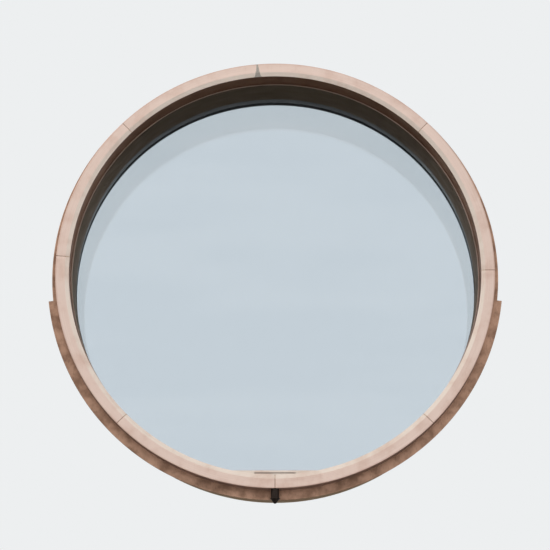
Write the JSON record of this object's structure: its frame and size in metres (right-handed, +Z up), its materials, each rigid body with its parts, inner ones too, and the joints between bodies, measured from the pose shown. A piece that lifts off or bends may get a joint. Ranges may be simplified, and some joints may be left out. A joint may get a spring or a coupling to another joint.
{
  "type": "oculus window",
  "caption": "Fixed round window in a deep round reveal, with a folded copper ring outside and a sealed glazing unit at the back.",
  "frame": {"origin": "on the window's axis, in the plane where the fixing lugs bear on the wall's sheathing", "axes": "+Y along the window's axis into the building, +Z up, +X to the right seen from outside"},
  "size_m": [3.1364, 0.675, 3.1611],
  "materials": {
    "copper_ring": "natural copper sheet, lightly oxidised pale salmon",
    "copper_flashing": "natural copper sheet, oxidised brown",
    "copper_reveal": "natural copper sheet, oxidised brown",
    "laminated_timber": "planed laminated spruce",
    "plywood": "birch plywood",
    "dark_liner": "matt dark brown coated composite panel",
    "painted_timber": "satin grey paint on laminated timber",
    "float_glass": "polished float glass with a pale coating",
    "gasket_rubber": "matt extruded rubber",
    "block_plastic": "moulded plastic",
    "galvanised_steel": "hot-dip galvanised",
    "black_metal": "blackened copper"
  },
  "bodies": {
    "root": {"ring_segment_1": "copper_ring", "ring_segment_2": "copper_ring", "ring_segment_3": "copper_ring", "ring_segment_4": "copper_ring", "ring_segment_5": "copper_ring", "ring_segment_6": "copper_ring", "ring_segment_7": "copper_ring", "ring_segment_8": "copper_ring", "sill_apron": "copper_flashing", "head_flashing": "copper_flashing", "reveal_sleeve_upper": "copper_reveal", "reveal_sleeve_lower": "copper_reveal", "joint_straps": "copper_reveal", "drain_tray": "copper_reveal", "drain_sill": "copper_reveal", "ring_core_1": "laminated_timber", "ring_core_2": "laminated_timber", "ring_core_3": "laminated_timber", "ring_core_4": "laminated_timber", "casing_1": "laminated_timber", "casing_2": "laminated_timber", "casing_3": "laminated_timber", "casing_4": "laminated_timber", "casing_spline_1": "plywood", "casing_spline_2": "plywood", "casing_spline_3": "plywood", "casing_spline_4": "plywood", "reveal_liner_upper": "dark_liner", "reveal_liner_lower": "dark_liner", "glazing_frame_1": "painted_timber", "glazing_frame_2": "painted_timber", "glazing_frame_3": "painted_timber", "glazing_frame_4": "painted_timber", "glazing_bead_1": "painted_timber", "glazing_bead_2": "painted_timber", "glazing_bead_3": "painted_timber", "glazing_bead_4": "painted_timber", "outer_pane": "float_glass", "inner_pane": "float_glass", "outer_gasket": "gasket_rubber", "inner_gasket": "gasket_rubber", "spacer_ring": "gasket_rubber", "setting_blocks": "block_plastic", "location_blocks": "block_plastic", "fixing_lugs": "galvanised_steel", "drain_spout": "black_metal"}
  },
  "joints": []
}
